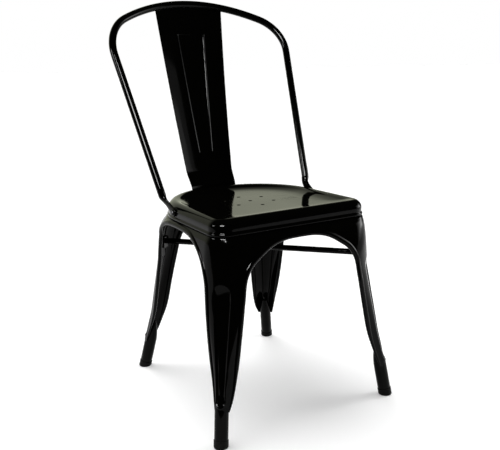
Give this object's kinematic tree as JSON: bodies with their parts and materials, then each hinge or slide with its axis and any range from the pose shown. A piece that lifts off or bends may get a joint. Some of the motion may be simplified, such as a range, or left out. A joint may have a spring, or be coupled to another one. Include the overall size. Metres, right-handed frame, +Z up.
{
  "type": "stacking bistro chair",
  "caption": "Pressed-steel bistro chair with a dished square seat, splayed tapering legs, a bent-tube back hoop and a ribbed back splat.",
  "frame": {"origin": "middle of the chair's overall box, on the floor", "axes": "+Z up; the sitter faces -Y, so the back hoop leans towards +Y; +X is the right-hand side seen from the front"},
  "size_m": [0.452, 0.5032, 0.85],
  "materials": {
    "black_paint": "gloss",
    "black_glide": "satin",
    "black_fastener": "satin"
  },
  "bodies": {
    "root": {"front_left_leg": "black_paint", "front_right_leg": "black_paint", "rear_left_leg": "black_paint", "rear_right_leg": "black_paint", "front_left_brace_tab": "black_paint", "front_right_brace_tab": "black_paint", "rear_left_brace_tab": "black_paint", "rear_right_brace_tab": "black_paint", "seat_pan": "black_paint", "back_hoop": "black_paint", "back_splat": "black_paint", "upper_cross_brace": "black_paint", "lower_cross_brace": "black_paint", "front_left_foot_glide": "black_glide", "front_right_foot_glide": "black_glide", "rear_left_foot_glide": "black_glide", "rear_right_foot_glide": "black_glide", "brace_centre_rivet": "black_fastener", "hoop_bolts": "black_fastener", "hoop_washers": "black_fastener", "hoop_nuts": "black_fastener"}
  },
  "joints": []
}
